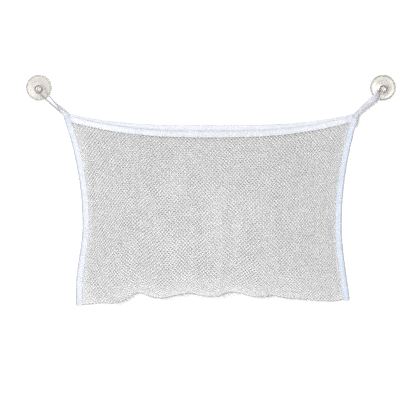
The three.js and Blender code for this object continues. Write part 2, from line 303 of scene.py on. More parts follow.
# The photograph is 416 pixels wide, with 1.55 mm of wall to a pixel.
FRAME_WIDTH = 416 * 1.55 * MM
CAMERA_DISTANCE = 4.0
CAMERA_SENSOR = 36.0
LOOK_AT = Vector((-0.00465, 0.0, -0.1863))
ELEVATION = math.radians(1.0)

HASH_STEPS = (12.9898, 78.233, 37.719)
HASH_SCALE = 43758.5453
DRIFT_WAVES = ((0.5, 1.0, 1.0), (0.3, 1.71, 2.3), (0.2, 2.63, 4.1))  # weights, rates and phases


def lerp(a, b, t):
    return a + (b - a) * t


def smoothstep(x, low, high):
    t = np.clip((x - low) / (high - low), 0.0, 1.0)
    return t * t * (3 - 2 * t)


def bezier(handles, t):
    a, b, c, d = handles
    s = 1 - t
    return a * s**3 + 3 * b * s * s * t + 3 * c * s * t * t + d * t**3


def bell(x, reach):
    return np.exp(-((x / reach) ** 2))


def unit(v):
    return v / np.linalg.norm(v, axis=-1, keepdims=True)


def hashed(*numbers):
    """Even noise from -1 to 1 that depends only on the whole numbers given."""
    mixed = sum(n * k for n, k in zip(numbers, HASH_STEPS))
    return 2 * np.modf(np.abs(np.sin(mixed) * HASH_SCALE))[0] - 1


def drift(x, length, seed):
    """Smooth noise from about -1 to 1 along x, in waves of about the given length."""
    t = 2 * np.pi * x / length
    return sum(weight * np.sin(rate * t + phase * seed) for weight, rate, phase in DRIFT_WAVES)


def arc_length(points, axis):
    """Distance along rows of points, from 0."""
    steps = np.linalg.norm(np.diff(points, axis=axis), axis=-1)
    zero = np.zeros_like(np.take(steps, [0], axis))
    return np.cumsum(np.concatenate((zero, steps), axis), axis)


def smoothed(rows, reach):
    """Rows of points, averaged over a number of neighbours on each side, with the ends kept."""
    padded = np.concatenate((np.repeat(rows[:1], reach, 0), rows, np.repeat(rows[-1:], reach, 0)))
    total = np.cumsum(np.concatenate((np.zeros_like(rows[:1]), padded)), 0)
    mean = (total[2 * reach + 1 :] - total[: -2 * reach - 1]) / (2 * reach + 1)
    count = np.arange(len(rows))
    share = np.clip(np.minimum(count, count[::-1]) / reach, 0, 1)[:, None]
    return lerp(rows, mean, share)


# Shape of the hanging bag.


def half_width(z, side):
    up = (z - WAIST_Z) / (TOP_Z - WAIST_Z)
    down = (WAIST_Z - z) / (WAIST_Z - BOTTOM_Z)
    above = lerp(WAIST_INSET[side], TOP_INSET[side], up**2)
    below = lerp(WAIST_INSET[side], BOTTOM_INSET[side], smoothstep(down, 0.0, FLARE_END[side]))
    return CORNER_SPAN / 2 - np.where(up > 0, above, below)


def half_net(x, z):
    """Half the width of the net between its bindings, on the side that x is on."""
    return np.where(x < 0, half_width(z, LEFT), half_width(z, RIGHT)) - FOLD_WIDTH - SEAM_LIP


def bottom_table():
    """Heights of the bottom edge at even steps across, with the bends between its points rounded."""
    u = np.linspace(-1, 1, EDGE_STEPS)
    heights = np.interp(u, *np.transpose(BOTTOM_EDGE))
    weight = np.hanning(EDGE_ROUNDING)
    padded = np.pad(heights, EDGE_ROUNDING // 2, mode="edge")
    return u, np.convolve(padded, weight / weight.sum(), mode="valid")


BOTTOM_TABLE = bottom_table()


def seam_spread(z):
    """How far each wall stands off the middle of a side seam."""
    below = (NET_THICKNESS + CLEARANCE) / 2
    at_hems = NET_GROOVE + TAPE_THICKNESS + CLEARANCE / 2
    return lerp(below, at_hems, smoothstep(z, TOP_Z - HEM_TAPER, TOP_Z - FOLD_WIDTH))


def panel_point(panel, s, v):
    """Across, s runs from -1 to 1 between the side bindings and on inside them. Up, v runs from 0 to 1."""
    s, v = np.broadcast_arrays(s, v)
    u = np.clip(s, -1.0, 1.0)
    swell = 1 - np.abs(u) ** FULLNESS
    low = np.interp(u, *BOTTOM_TABLE)
    high = panel.corner - panel.sag * (1 - np.abs(u) ** panel.flatness)
    z = lerp(low, high, bezier((0.0, lerp(1 / 3, 0, swell), lerp(2 / 3, 1 / 2, swell), 1.0), v))
    # The lumps are highest a quarter of the way up, where 9 * v * (1 - v) ** 3 is nearly 1.
    wave = np.cos(np.pi * SCALLOP_COUNT * u) * (1 - u * u)
    lump = panel.lump * wave * 9 * v * (1 - v) ** 3
    depth = bezier(panel.depths, v) * swell + lump
    apart = lerp(seam_spread(z), CLEARANCE / 2, swell)
    x = u * half_net(u, z) + (s - u) * TUCK
    return np.stack((x, -HANG_DEPTH - depth + panel.face * apart, z), -1)


def corner_point(side):
    return np.array((side * (CORNER_SPAN - FOLD_WIDTH) / 2, -HANG_DEPTH, CORNER_Z))


def cup_lean(side, off_wall):
    """How far a cup's neck is pulled aside by the bag at a distance from the wall."""
    share = (np.clip(off_wall - LEAN_START, 0, None) / (CUP_HEIGHT - LEAN_START)) ** LEAN_BEND
    return np.stack((side * CUP_LEAN[0] * share, 0 * share, CUP_LEAN[1] * share), -1)


def loop_way(side):
    """The way from a corner to the place where its loop hangs on the cup, and how far that is."""
    hang_point = np.array((side * CUP_SPAN / 2, -HANG_DEPTH, 0.0)) + cup_lean(side, np.array(HANG_DEPTH))
    way = hang_point - corner_point(side)
    reach = np.linalg.norm(way)
    return way / reach, reach


# Meshes.


def add_object(name, material, points, faces):
    mesh = bpy.data.meshes.new(name)
    mesh.from_pydata(points, [], faces, shade_flat=False)
    mesh.materials.append(material)
    obj = bpy.data.objects.new(name, mesh)
    bpy.context.scene.collection.objects.link(obj)
    return obj


def make_piece(name, material, points, faces, maps):
    """An object from points in millimetres and faces, which are arrays of corner indices, one for each
    count of corners. maps holds map coordinates for the corners, from the first on."""
    piece = add_object(name, material, points * MM, [face for group in faces for face in group.tolist()])
    flat = np.zeros((len(piece.data.loops), 2), np.float32)
    flat[: len(maps)] = maps
    piece.data.uv_layers.new(name="UVMap").data.foreach_set("uv", flat.ravel())
    return piece


def pair(make, name):
    """Makes the left and the right piece of a kind."""
    return {side: make(f"{word}_{name}", side) for side, word in SIDES.items()}


def faces_out(points, quads):
    """Whether quads face out, by the volume that they close."""
    a, b, c, d = (points[quads[:, k]] for k in range(4))
    volume = np.einsum("ij,ij->", a, np.cross(b, c)) + np.einsum("ij,ij->", a, np.cross(c, d))
    return volume > 0


def ring_quads(rings, along, around):
    """Quads between rings of points, and their map coordinates, from each ring's place along the tube and
    the distances round it."""
    count, size = rings.shape[:2]
    i, j = (g.ravel() for g in np.mgrid[: count - 1, :size])
    n = (j + 1) % size
    quads = np.stack((i * size + j, i * size + n, (i + 1) * size + n, (i + 1) * size + j), 1)
    around = np.broadcast_to(around, (count, size + 1))
    u = np.stack((along[i], along[i], along[i + 1], along[i + 1]), 1)
    v = np.stack((around[i, j], around[i, j + 1], around[i + 1, j + 1], around[i + 1, j]), 1)
    return quads, np.stack((u, v), -1)


def sweep(rings, along, around):
    """A closed tube through rings of points, mapped as in ring_quads: points, faces and map coordinates."""
    count, size = rings.shape[:2]
    points = rings.reshape(-1, 3)
    quads, maps = ring_quads(rings, along, around)
    ends = np.stack((np.arange(size)[::-1], (count - 1) * size + np.arange(size)))
    if not faces_out(points, quads):
        quads, maps, ends = quads[:, ::-1], maps[:, ::-1], ends[:, ::-1]
    return points, [quads, ends], maps.reshape(-1, 2)


# Materials.


def fill_inputs(tree, node, inputs):
    """Gives a node's sockets values, or links them to outputs."""
    for socket, value in inputs.items():
        if isinstance(value, bpy.types.NodeSocket):
            tree.links.new(value, node.inputs[socket])
        else:
            node.inputs[socket].default_value = value


def add_node(tree, kind, inputs=None, **settings):
    node = tree.nodes.new(kind)
    for key, value in settings.items():
        setattr(node, key, value)
    fill_inputs(tree, node, inputs or {})
    return node


def new_material(name):
    material = bpy.data.materials.new(name)
    material.use_nodes = True
    tree = material.node_tree
    return material, tree, tree.nodes["Principled BSDF"]


def math_node(tree, operation, a, b=0.0):
    return add_node(tree, "ShaderNodeMath", {0: a, 1: b}, operation=operation).outputs[0]


def weighted(tree, *terms):
    """The sum of outputs, each times its weight."""
    total = None
    for value, weight in terms:
        term = math_node(tree, "MULTIPLY", value, weight)
        total = term if total is None else math_node(tree, "ADD", total, term)
    return total


def sine_waves(tree, value, pitch):
    return math_node(tree, "SINE", math_node(tree, "MULTIPLY", value, 2 * math.pi / pitch))


def noise_node(tree, place, scale, detail=2.0):
    inputs = {"Vector": place, "Scale": scale, "Detail": detail}
    return add_node(tree, "ShaderNodeTexNoise", inputs).outputs["Fac"]


def ramp_node(tree, factor, stops):
    node = add_node(tree, "ShaderNodeValToRGB", {"Fac": factor})
    for _ in stops[2:]:
        node.color_ramp.elements.new(1.0)
    for element, (place, colour) in zip(node.color_ramp.elements, stops):
        element.position = place
        element.color = (*colour, 1.0)
    return node.outputs["Color"]


def bump_node(tree, height, distance, strength, below=None):
    inputs = {"Height": height, "Distance": distance, "Strength": strength}
    if below is not None:
        inputs["Normal"] = below
    return add_node(tree, "ShaderNodeBump", inputs).outputs["Normal"]


def place_node(tree, output="Object"):
    return add_node(tree, "ShaderNodeTexCoord").outputs[output]


def parts_of(tree, vector):
    return add_node(tree, "ShaderNodeSeparateXYZ", {"Vector": vector}).outputs


def painted_shade_tone(tree, tone, off_fold, width):
    """A tone that falls to 0 on a fold, within a width on each side of it, where shade is painted."""
    near = math_node(tree, "DIVIDE", math_node(tree, "ABSOLUTE", off_fold), width)
    unshaded = math_node(tree, "MINIMUM", math_node(tree, "POWER", near, 2.0), 1.0)
    return math_node(tree, "MULTIPLY", tone, unshaded)


def mix_shader(tree, factor, first, second):
    """Makes the surface one shader where the factor is 0, and the other where it is 1."""
    both = add_node(tree, "ShaderNodeMixShader", {0: factor, 1: first.outputs[0], 2: second.outputs[0]})
    tree.links.new(both.outputs[0], tree.nodes["Material Output"].inputs["Surface"])


def fill_cloth(tree, shader, colour, normal, roughness, sheen):
    """Fills in the shader of a cloth. sheen holds its weight and its roughness."""
    fill_inputs(tree, shader, {
        "Base Color": colour,
        "Normal": normal,
        "Roughness": roughness,
        "Sheen Weight": sheen[0],
        "Sheen Roughness": sheen[1],
    })


def net_material():
    """Knitted yarn, painted grey as shade along the bottom edge, which is where the map's second number is
    0.
    """
    material, tree, shader = new_material("net")
    place = place_node(tree)
    cloud = noise_node(tree, place, scale=28.0, detail=3.0)
    yarn = noise_node(tree, place, scale=2600.0)
    tone = weighted(tree, (cloud, 0.55), (yarn, 0.45))
    # Painted shade along the net's bottom edge.
    tone = painted_shade_tone(tree, tone, parts_of(tree, place_node(tree, "UV"))["Y"], EDGE_SHADE_HEIGHT)
    stops = ((0.0, NET_PAINTED_SHADE), (0.3, NET_COLOURS[0]), (0.7, NET_COLOURS[1]))
    normal = bump_node(tree, yarn, distance=0.00012, strength=0.7)
    fill_cloth(tree, shader, ramp_node(tree, tone, stops), normal, roughness=0.55, sheen=(0.15, 0.4))
    return material


def tape_material(name, colours, fold_shade=None):
    """Woven tape: ribs across it, finer threads along it, their grooves painted a little darker as shade. A
    folded tape may be painted grey along its fold as shade, where the map across it is 0."""
    material, tree, shader = new_material(name)
    parts = parts_of(tree, place_node(tree, "UV"))
    ribs = sine_waves(tree, parts["X"], RIB_PITCH)
    weave = math_node(tree, "MULTIPLY", ribs, sine_waves(tree, parts["Y"], THREAD_PITCH))
    place = place_node(tree)
    cloud = noise_node(tree, place, scale=60.0, detail=3.0)
    fuzz = noise_node(tree, place, scale=1800.0)
    height = weighted(tree, (ribs, 0.6), (weave, 0.4))
    # The weave's grooves are painted a little darker, as shade.
    tone = weighted(tree, (height, 0.12), (cloud, 0.7), (fuzz, 0.3))
    stops = ((0.25, colours[0]), (0.75, colours[1]))
    # Painted shade along the tape's fold.
    if fold_shade is not None:
        tone = painted_shade_tone(tree, tone, parts["Y"], FOLD_SHADE_WIDTH)
        stops = ((0.0, fold_shade), *stops)
    soft = bump_node(tree, fuzz, distance=0.0001, strength=0.4)
    normal = bump_node(tree, height, distance=0.00006, strength=0.6, below=soft)
    fill_cloth(tree, shader, ramp_node(tree, tone, stops), normal, roughness=0.62, sheen=(0.2, 0.35))
    return material


def thread_material():
    """Sewing thread, twisted round its length, its grooves painted a little darker as shade."""
    material, tree, shader = new_material("thread")
    parts = parts_of(tree, place_node(tree, "UV"))
    rates = [2 * math.pi / pitch for pitch in TWIST_PITCH]
    twist = math_node(tree, "SINE", weighted(tree, (parts["X"], rates[0]), (parts["Y"], rates[1])))
    fuzz = noise_node(tree, place_node(tree), scale=1500.0)
    # The twist's grooves are painted a little darker, as shade.
    tone = math_node(tree, "ADD", math_node(tree, "MULTIPLY", twist, 0.12), fuzz)
    stops = ((0.3, THREAD_COLOURS[0]), (0.7, THREAD_COLOURS[1]))
    normal = bump_node(tree, twist, distance=0.00006, strength=0.6)
    fill_cloth(tree, shader, ramp_node(tree, tone, stops), normal, roughness=0.45, sheen=(0.15, 0.5))
    return material


def plastic_material(name, tint_and_shade):
    """Clear soft plastic with a faint tinge, deeper in the thick rim and head as painted shade, and a clear
    band inside the rim as a painted highlight; these are found by the map along the cup's profile."""
    material, tree, shader = new_material(name)
    place = place_node(tree)
    haze = noise_node(tree, place, scale=90.0, detail=3.0)
    cloudy = math_node(tree, "MULTIPLY", noise_node(tree, place, scale=150.0), 0.05)
    along = math_node(tree, "ADD", parts_of(tree, place_node(tree, "UV"))["X"], cloudy)
    # The rim and head are painted darker as shade, and the band inside the rim clear as a highlight.
    stops = (
        (0.0, tint_and_shade), (0.29, tint_and_shade), (0.33, CUP_RIM_SHADE), (0.42, CUP_RIM_SHADE), (0.435, CUP_GROOVE_HIGHLIGHT), (0.47, CUP_GROOVE_HIGHLIGHT),
        (0.52, tint_and_shade), (0.68, tint_and_shade), (0.72, CUP_HEAD_SHADE), (0.87, CUP_HEAD_SHADE), (0.9, tint_and_shade),
    )
    fill_inputs(tree, shader, {
        "Base Color": ramp_node(tree, along, stops),
        "Roughness": ramp_node(tree, haze, ((0.3, (0.14,) * 3), (0.75, (0.24,) * 3))),
        "Normal": bump_node(tree, noise_node(tree, place, scale=160.0), distance=0.0002, strength=0.25),
        "Transmission Weight": 1.0,
        "IOR": 1.27,
    })
    # Light reaches what is behind the plastic, so shadow rays pass straight through it.
    passing = add_node(tree, "ShaderNodeBsdfTransparent", {"Color": CUP_SHADOW})
    mix_shader(tree, add_node(tree, "ShaderNodeLightPath").outputs["Is Shadow Ray"], shader, passing)
    return material


NET = net_material()
HEM_TAPE = tape_material("hem_tape", HEM_COLOURS)
CORNER_TAPE = tape_material("corner_tape", CORNER_COLOURS_SHADED)
LOOP_TAPE = tape_material("loop_tape", LOOP_COLOURS)
THREAD = thread_material()


# The net: a knitted sheet with rows of staggered openings, folded at the bottom.


def even_places(panel):
    """Tables of s and v at even steps along the cloth, across from -1 to 1 and up from 0 to 1."""
    s = np.linspace(-1, 1, TABLE_STEPS[0])
    v = np.linspace(0, 1, TABLE_STEPS[1])
    across = arc_length(panel_point(panel, s[:, None], v), 0)
    across = 2 * across / across[-1] - 1
    even_s = np.stack([np.interp(s, across[:, j], s) for j in range(len(v))], 1)
    up = arc_length(panel_point(panel, even_s, v), 1)
    up /= up[:, -1:]
    even_v = np.stack([np.interp(v, up[i], v) for i in range(len(s))])
    even_s = np.stack([np.interp(even_v[i], v, even_s[i]) for i in range(len(s))])
    return even_s, even_v


def look_up(table, a, b):
    """Reads a table of even_places between its entries."""
    x = np.clip((a + 1) / 2, 0, 1) * (table.shape[0] - 1)
    y = np.clip(b, 0, 1) * (table.shape[1] - 1)
    i = np.minimum(x.astype(int), table.shape[0] - 2)
    j = np.minimum(y.astype(int), table.shape[1] - 2)
    x, y = x - i, y - j
    low = lerp(table[i, j], table[i + 1, j], x)
    high = lerp(table[i, j + 1], table[i + 1, j + 1], x)
    return lerp(low, high, y)


def measure_cloth(panel):
    """Adds a panel's width above mid height, its height in the middle, its rows and its even places."""
    fine = np.linspace(0, 1, MEASURE_STEPS)
    panel.width = arc_length(panel_point(panel, 2 * fine - 1, WIDTH_AT), 0)[-1]
    panel.height = arc_length(panel_point(panel, 0.0, fine), 0)[-1]
    panel.rows = round(panel.height / ROW_PITCH)
    panel.places = even_places(panel)


measure_cloth(FRONT)
measure_cloth(BACK)
NET_COLUMNS = round(FRONT.width / CELL_PITCH)


def ripples(a, b, panel):
    """How far the cloth stands off its smooth shape: drawn in at the tapes, softly uneven between them."""
    x = a * panel.width / 2
    z = b * panel.height
    from_side = (1 - np.abs(a)) * panel.width / 2
    from_top = (1 - b) * panel.height - FOLD_WIDTH
    clear = smoothstep(from_side, 0.0, FLAT_AT_TAPE) * smoothstep(from_top, 0.0, FLAT_AT_TAPE)
    clear = clear * smoothstep(z, 0.0, FLAT_AT_FOLD)
    total = 0.0
    for kind, near, place in (
        (TOP_RIPPLES, bell(from_top, TOP_RIPPLES.reach), x),
        (SIDE_RIPPLES, bell(from_side, SIDE_RIPPLES.reach), z),
        (WIDE_RIPPLES, 1.0, x + WIDE_RIPPLES.slant * z),
        (TALL_RIPPLES, 1.0, z + TALL_RIPPLES.slant * x),
    ):
        total = total + kind.height * near * drift(place, kind.length, kind.seed)
    return clear * total


def smooth_net_point(a, r):
    """Places on the net without its ripples. a runs across from -1 to 1 and on into the bindings. r counts
    rows of openings from the bottom fold: up the front if it is positive, up the back if it is negative."""
    beyond = np.sign(a) * np.maximum(np.abs(a) - 1, 0) * FRONT.width / 2 / TUCK
    places = []
    for panel, rows in ((FRONT, r), (BACK, -r)):
        even_s, even_v = panel.places
        share = rows / panel.rows
        places.append(panel_point(panel, look_up(even_s, a, share) + beyond, look_up(even_v, a, share)))
    return np.where((r >= 0)[..., None], *places)


def net_point(a, r, lift):
    """Places on the net, lifted off its middle toward the outside of the bag."""
    step_a, step_r = 0.002, 0.2
    across = smooth_net_point(a + step_a, r) - smooth_net_point(a - step_a, r)
    up = smooth_net_point(a, r + step_r) - smooth_net_point(a, r - step_r)
    normal = unit(np.cross(across, up))
    on_front = ripples(a, r / FRONT.rows, FRONT)
    on_back = -BACK_RIPPLES * ripples(-a, -r / BACK.rows, BACK)
    lift = lift + np.where(r >= 0, on_front, on_back)
    return smooth_net_point(a, r) + normal * lift[..., None]


def height_above_edge(points):
    x, z = points[:, 0], points[:, 2]
    return z - np.interp(np.clip(x / half_net(x, z), -1.0, 1.0), *BOTTOM_TABLE)


def make_net(name, first_row, rows):
    """A piece of net with whole cells. Each cell is a six-sided ring of strands round an opening. A strand
    has its ridge on the outside and is flat inside. Corners count from the upper right, going round."""
    pad = 2
    columns = NET_COLUMNS + 2 * TUCKED_CELLS
    k, i = np.mgrid[-pad : rows + pad, -pad : columns + pad]
    high, wide = k.shape
    total = k.size
    cell = np.arange(total).reshape(k.shape)
    exists = (k >= 0) & (k < rows) & (i >= 0) & (i < columns)
    alive = exists.ravel()
    row, column = k + first_row, i - TUCKED_CELLS
    odd = row % 2
    step = 2 / NET_COLUMNS
    centre = np.stack(((column + 0.25 + 0.5 * odd) * step - 1, row + 0.5), -1)

    def joint(way, seed):
        """The joints of strands above or below every cell, a little out of line."""
        loose_a = JOINT_LOOSENESS * step * hashed(row, column, seed)
        loose_r = JOINT_LOOSENESS * hashed(row, column, seed + 1)
        return (centre + np.stack((loose_a, way * (1 - PILLAR_SHARE) + loose_r), -1)).reshape(-1, 2)

    def neighbour(up, right):
        rows_of = np.clip(np.arange(high)[:, None] + up, 0, high - 1)
        shift = right if up == 0 else odd - 1 + right
        return cell[rows_of, np.clip(np.arange(wide)[None, :] + shift, 0, wide - 1)]

    joints = np.concatenate((joint(1, 3), joint(-1, 5)))
    up_right, up_left = neighbour(1, 1), neighbour(1, 0)
    down_right, down_left = neighbour(-1, 1), neighbour(-1, 0)
    left, right = neighbour(0, -1), neighbour(0, 1)
    across_side = np.stack((up_right, up_left, left, down_left, down_right, right), -1)
    corner = np.stack((total + up_right, cell, total + up_left, down_left, total + cell, down_right), -1)

    # Openings are drawn wider next to the tapes, and pinched at the fold.
    from_side = (1 - np.abs(centre[..., 0])) * FRONT.width / 2
    rows_up = np.where(row >= 0, FRONT.rows - centre[..., 1], BACK.rows + centre[..., 1])
    from_hem = rows_up * ROW_PITCH - FOLD_WIDTH
    drawn = bell(from_hem, DRAWN_REACH.hem) + SIDE_DRAW * bell(from_side, DRAWN_REACH.side)
    share = HOLE_SHARE + DRAWN_SHARE * np.minimum(drawn, 1.0)
    share = np.where(np.abs(centre[..., 1]) < FOLD_ROWS, PINCHED_SHARE, share)
    holes = lerp(centre[:, :, None], joints[corner], share[..., None, None])

    # Point numbers: openings' corners first, then the joints on the ridge, then the joints on the flat side.
    hole = 6 * cell[..., None] + np.arange(6)
    ridge = 6 * total + corner
    flat = 8 * total + corner

    def side(array, e):
        return array[..., e % 6][exists]

    quads, triangles = [], []
    for e in range(6):
        other = side(across_side, e)
        inner = alive[other]
        far = (e + 3) % 6
        quads.append(np.stack((side(ridge, e), side(ridge, e + 1), side(hole, e + 1), side(hole, e)), 1))
        if e in (0, 1, 5):
            far_a, far_b = 6 * other + far, 6 * other + (far + 1) % 6
            between = np.stack((side(hole, e), side(hole, e + 1), far_a, far_b), 1)
            quads.append(between[inner])
        wall = np.stack((side(ridge, e + 1), side(ridge, e), side(flat, e), side(flat, e + 1)), 1)
        under = np.stack((side(hole, e), side(hole, e + 1), side(flat, e + 1), side(flat, e)), 1)
        quads.extend((wall[~inner], under[~inner]))
    inside = (k > -pad) & (k < rows + pad - 1) & (i > -pad) & (i < columns + pad - 1)
    for own, members in (
        (cell, ((cell, 1), (up_left, 5), (up_right, 3))),
        (total + cell, ((cell, 4), (down_right, 2), (down_left, 0))),
    ):
        there = np.stack([alive[m] for m, _ in members], -1)
        meets = [np.where(there[..., n], 6 * m + e, 8 * total + own) for n, (m, e) in enumerate(members)]
        triangles.append(np.stack(meets, -1)[inside & (there.sum(-1) >= 2)])
    quads = np.concatenate(quads)
    triangles = np.concatenate(triangles)

    # Points that no face uses are left out.
    used, corners = np.unique(np.concatenate((quads.ravel(), triangles.ravel())), return_inverse=True)
    faces = [corners[: quads.size].reshape(-1, 4), corners[quads.size :].reshape(-1, 3)]
    places = np.concatenate((holes.reshape(-1, 2), joints, joints))[used]
    on_ridge = (used >= 6 * total) & (used < 8 * total)
    lift = np.where(on_ridge, STRAND_THICKNESS / 2, -STRAND_THICKNESS / 2)
    points = net_point(places[:, 0], places[:, 1], lift)
    maps = np.stack((places[:, 0], height_above_edge(points)), -1)
    return make_piece(name, NET, points, faces, maps[corners.ravel()])


front_net = make_net("front_net_mesh", 0, FRONT.rows - 1)
back_net = make_net("back_net_mesh", 1 - BACK.rows, BACK.rows - 1)


# Tapes folded over the edges of the net.


def fold_line(width, groove_half):
    """Middle line of a folded tape at each station, from lip to lip: places out past the edge and across
    it, the ways square to the tape, and distances along the line."""
    radius = groove_half + TAPE_THICKNESS / 2
    centre = EDGE_INSET - groove_half - TAPE_THICKNESS
    lip = EDGE_INSET - width + TAPE_TIP
    angles = np.radians(np.linspace(-90, 90, FOLD_STEPS))
    flank = lerp(lip, centre, np.array(FLANK_SHARES))
    ones = np.ones_like(flank)
    x = np.concatenate((flank, centre + radius * np.cos(angles), flank[:, ::-1]), 1)
    y = np.concatenate((-radius * ones, radius * np.sin(angles), radius * ones), 1)
    bend = np.concatenate((-np.pi / 2 * ones[0], angles, np.pi / 2 * ones[0]))
    bend = np.broadcast_to(bend, x.shape)
    line = np.stack((x, y), -1)
    return line, np.stack((np.cos(bend), np.sin(bend)), -1), arc_length(line, 1)


def folded_tape(stations, width, seed, stitched=True):
    """A folded tape along stations, which hold edge points, the ways out and across, half the groove, and a
    squeeze that flattens the fold. Returns what sweep returns."""
    edge, out, across, groove_half, squeeze = stations
    length = arc_length(edge, 0)
    line, square, around = fold_line(np.reshape(width, (-1, 1)), groove_half[:, None])
    from_lip = line[..., 0] - line[:, :1, 0]
    waves = sum(height * drift(length, span, seed + extra) for height, span, extra in LIP_WAVES)
    line[..., 0] += bell(from_lip, LIP_REACH) * waves[:, None]
    if stitched:
        needle = 0.5 + 0.5 * np.cos(2 * np.pi * length / STITCH_PITCH)
        dent = PULL_DEPTHS[0] + PULL_DEPTHS[1] * needle
        rise = PUFF.height + PUFF.uneven * drift(length, PUFF.length, seed + PUFF.seed)
        puff = bell(from_lip - STITCH_INSET - PUFF.inset, PUFF.reach) * rise[:, None]
        pull = bell(from_lip - STITCH_INSET, PULL_REACH) * dent[:, None]
        line += square * (puff - pull)[..., None]
    outer = line + square * (TAPE_THICKNESS / 2)
    inner = line - square * (TAPE_THICKNESS / 2)
    tip = np.array((TAPE_TIP, 0.0))
    ring = np.concatenate((outer, line[:, -1:] - tip, inner[:, ::-1], line[:, :1] - tip), 1)
    ring = ring * np.stack((np.ones_like(squeeze), squeeze), -1)[:, None]
    points = edge[:, None] + ring[..., :1] * out[:, None] + ring[..., 1:] * across[:, None]
    around = around - around[:, -1:] / 2
    lip_a, lip_b = around[:, :1], around[:, -1:]
    round_trip = np.concatenate((around, lip_b + TIP_MAP, around[:, ::-1], lip_a - TIP_MAP, lip_a), 1)
    return sweep(points, length, round_trip)


def station_count(length):
    return round(length / STITCH_PITCH * STATIONS_PER_STITCH)


def hem_stations(panel):
    """The top edge of a panel, running on into the side bindings, where the hem is pressed flat."""
    s = np.linspace(-HEM_REACH, HEM_REACH, HEM_STEPS)
    length = arc_length(panel_point(panel, s, 1.0), 0)
    s = np.interp(np.linspace(0, length[-1], station_count(length[-1])), length, s)
    edge = smoothed(panel_point(panel, s, 1.0), HEM_SMOOTHING)
    below = smoothed(panel_point(panel, s, UNDER_HEM), HEM_SMOOTHING)
    up = unit(edge - below)
    normal = unit(np.cross(np.gradient(edge, axis=0), up))
    from_binding = (1 - np.abs(s)) * CORNER_SPAN / 2
    squeeze = lerp(PRESSED, 1.0, smoothstep(from_binding, *PRESSED_FROM))
    edge[:, 1] += -panel.face * (1 - squeeze) / (1 - PRESSED) * PRESSED_SHIFT
    return edge, up, normal, np.full(len(s), NET_GROOVE), squeeze


def side_heights(low, high):
    return np.linspace(low, high, station_count(high - low))


def side_stations(side, z):
    """Stations up one side seam."""
    across = np.broadcast_to((0.0, 1.0, 0.0), (len(z), 3))
    out = np.broadcast_to((float(side), 0.0, 0.0), (len(z), 3))
    edge = np.stack((side * (half_width(z, side) - EDGE_INSET), np.full_like(z, -HANG_DEPTH), z), -1)
    return edge, out, across, seam_spread(z) + NET_GROOVE, np.ones_like(z)


def binding_end(side):
    return np.interp(side, *BOTTOM_TABLE) - BINDING_OVERHANG


def side_binding(name, side):
    """A side binding, with its lower end rounded off and closed."""
    low = binding_end(side)
    bend = np.sin(np.linspace(0, np.pi / 2, ROUNDED_STEPS)[:-1])
    end = low + ROUNDED_END * (1 - bend[::-1])
    z = np.concatenate((end, side_heights(low + ROUNDED_END, BINDING_TOP)))
    edge, out, across, groove_half, _ = side_stations(side, z)
    below = np.clip(1 - (z - low) / ROUNDED_END, 0, 1)
    rounding = 1 - np.sqrt(1 - below**2)
    edge = edge - out * (ROUNDED_END * ROUNDED_INWARD * rounding)[:, None]
    width = FOLD_WIDTH - ROUNDED_END * rounding
    squeeze = lerp(1.0, ROUNDED_SQUEEZE, rounding)
    tape = folded_tape((edge, out, across, groove_half, squeeze), width, seed=3.1 * side)
    # Painted shade along each binding's fold.
    material = tape_material(f"{SIDES[side]}_side_tape", SIDE_COLOURS_RIGHT_SHADED[side], SIDE_PAINTED_SHADE)
    binding = make_piece(name, material, *tape)
    # The photograph has no shadow of the bindings on the wall.
    binding.visible_shadow = False
    return binding


def corner_patch(name, side):
    """A tape folded over a corner, leaning toward the cup, gathered and pinched round the hanging loop."""
    t = np.linspace(0, 1, PATCH_STEPS)[:, None]
    low = TOP_Z - PATCH_LENGTH
    width = lerp(*PATCH_WIDTHS, smoothstep(t, *PATCH_NARROWS))
    start = np.array((side * (half_width(low, side) + PATCH_OUTSET - FOLD_WIDTH / 2), -HANG_DEPTH, low))
    turn = corner_point(side) - (0.0, 0.0, PATCH_BEND_DROP)
    end = corner_point(side) + loop_way(side)[0] * PATCH_REACH
    middle = start * (1 - t) ** 2 + 2 * turn * t * (1 - t) + end * t * t
    way = unit(np.gradient(middle, axis=0))
    out = side * np.stack((way[:, 2], 0 * way[:, 0], -way[:, 0]), -1)
    across = np.broadcast_to((0.0, 1.0, 0.0), out.shape)
    edge = middle + out * (width / 2 - EDGE_INSET)
    open_half = seam_spread(middle[:, 2]) + NET_GROOVE + EDGE_INSET
    groove_half = lerp(open_half, PINCHED_GROOVE, smoothstep(t[:, 0], *PATCH_PINCH))
    stations = (edge, out, across, groove_half, np.ones(PATCH_STEPS))
    return make_piece(name, CORNER_TAPE, *folded_tape(stations, width, seed=5.0 * side, stitched=False))


FRONT.hem = hem_stations(FRONT)
BACK.hem = hem_stations(BACK)
front_hem = make_piece("front_hem_tape", HEM_TAPE, *folded_tape(FRONT.hem, FOLD_WIDTH, seed=0.4))
back_hem = make_piece("back_hem_tape", HEM_TAPE, *folded_tape(BACK.hem, FOLD_WIDTH, seed=1.7))
bindings = pair(side_binding, "binding_tape")
patches = pair(corner_patch, "corner_tape")


# Sewing thread.


def tube(path, radius, sides):
    """Rings of a round tube along a path, with the distances along and round it."""
    along = unit(np.gradient(path, axis=0))
    aim = np.where(np.abs(along[:, 2:]) < 0.9, (0.0, 0.0, 1.0), (1.0, 0.0, 0.0))
    one = unit(np.cross(along, aim))
    two = np.cross(along, one)
    angle = np.linspace(0, 2 * np.pi, sides + 1)
    turn = angle[:-1, None]
    radius = np.broadcast_to(radius, len(path))
    spokes = np.cos(turn) * one[:, None] + np.sin(turn) * two[:, None]
    return path[:, None] + radius[:, None, None] * spokes, arc_length(path, 0), angle * radius.max()


